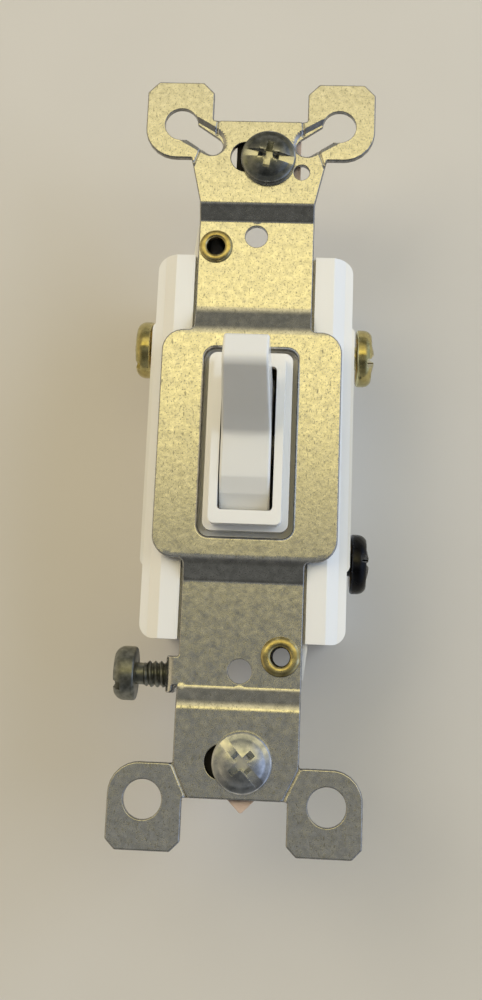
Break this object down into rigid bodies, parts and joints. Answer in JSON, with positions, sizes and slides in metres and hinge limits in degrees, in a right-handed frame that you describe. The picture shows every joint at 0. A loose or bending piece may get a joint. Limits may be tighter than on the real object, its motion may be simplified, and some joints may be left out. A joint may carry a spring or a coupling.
{
  "type": "toggle wall switch",
  "caption": "Side-wired toggle wall switch on a galvanised strap with plaster ears, a rocking handle in a collar, binding screws and a ground screw.",
  "frame": {"origin": "midway between the two wall-plate screw holes, on the front face of their seats in the strap", "axes": "+Z out of the wall towards the user, +Y along the strap in the direction of the raised handle, +X to the right"},
  "size_m": [0.0349, 0.106, 0.0401],
  "materials": {
    "galvanised_steel": "galvanised sheet, speckled, semi-gloss",
    "eyelet_brass": "formed and polished",
    "screw_brass": "plated, glossy",
    "contact_brass": "stamped",
    "contact_silver": "satin",
    "spring_steel": "drawn wire",
    "cover_plastic": "glossy moulded",
    "housing_plastic": "semi-gloss moulded",
    "handle_plastic": "glossy moulded",
    "black_oxide": "black oxide",
    "ground_screw_finish": "dull grey-green plate",
    "dark_zinc": "dark zinc plate",
    "bright_zinc": "bright zinc plate",
    "fibre": "vulcanised fibre"
  },
  "bodies": {
    "chassis": {"strap": "galvanised_steel", "eyelet_upper": "eyelet_brass", "eyelet_lower": "eyelet_brass", "front_cover": "cover_plastic", "back_housing": "housing_plastic", "common_terminal": "contact_brass", "traveller_terminal_left": "contact_brass", "traveller_terminal_right": "contact_brass", "fixed_contact_upper": "contact_silver", "fixed_contact_lower": "contact_silver"},
    "toggle": {"toggle": "handle_plastic", "toggle_spring": "spring_steel"},
    "rocker": {"contact_rocker": "contact_brass", "moving_contact_upper": "contact_silver", "moving_contact_lower": "contact_silver"},
    "common_screw": {"common_screw": "black_oxide"},
    "traveller_screw_left": {"traveller_screw_left": "screw_brass"},
    "traveller_screw_right": {"traveller_screw_right": "screw_brass"},
    "ground_screw": {"ground_screw": "ground_screw_finish"},
    "retainer_upper": {"screw_retainer_upper": "fibre"},
    "retainer_lower": {"screw_retainer_lower": "fibre"},
    "box_screw_upper": {"box_screw_upper": "dark_zinc"},
    "box_screw_lower": {"box_screw_lower": "bright_zinc"}
  },
  "joints": [
    {"name": "toggle_pivot", "type": "hinge", "parent": "chassis", "child": "toggle", "pos_m": [0, 0.0005, -0.0036], "axis": [1, 0, 0], "range_deg": [0, 60], "deforming": ["toggle_spring"]},
    {"name": "rocker_pivot", "type": "hinge", "parent": "chassis", "child": "rocker", "pos_m": [0, 0.0005, -0.0156], "axis": [1, 0, 0], "range_deg": [-16, 0]},
    {"name": "common_screw_travel", "type": "slide", "parent": "chassis", "child": "common_screw", "axis": [1, 0, 0], "range_m": [-0.0022, 0.001]},
    {"name": "traveller_screw_left_travel", "type": "slide", "parent": "chassis", "child": "traveller_screw_left", "axis": [-1, 0, 0], "range_m": [-0.0025, 0.001]},
    {"name": "traveller_screw_right_travel", "type": "slide", "parent": "chassis", "child": "traveller_screw_right", "axis": [1, 0, 0], "range_m": [-0.0024, 0.001]},
    {"name": "ground_screw_travel", "type": "slide", "parent": "chassis", "child": "ground_screw", "axis": [-1, 0, 0], "range_m": [-0.0036, 0.001]},
    {"name": "upper_slot_slide", "type": "slide", "parent": "chassis", "child": "retainer_upper", "axis": [1, 0, 0], "range_m": [-0.0035, 0.0007]},
    {"name": "lower_slot_slide", "type": "slide", "parent": "chassis", "child": "retainer_lower", "axis": [1, 0, 0], "range_m": [-0.003, 0.0013]},
    {"name": "box_screw_upper_travel", "type": "slide", "parent": "retainer_upper", "child": "box_screw_upper", "axis": [0, 0, 1], "range_m": [0, 0.012]},
    {"name": "box_screw_lower_travel", "type": "slide", "parent": "retainer_lower", "child": "box_screw_lower", "axis": [0, 0, 1], "range_m": [0, 0.012]}
  ],
  "couplings": [
    {"joint": "rocker_pivot", "follows": "toggle_pivot", "ratio": -0.2666}
  ]
}
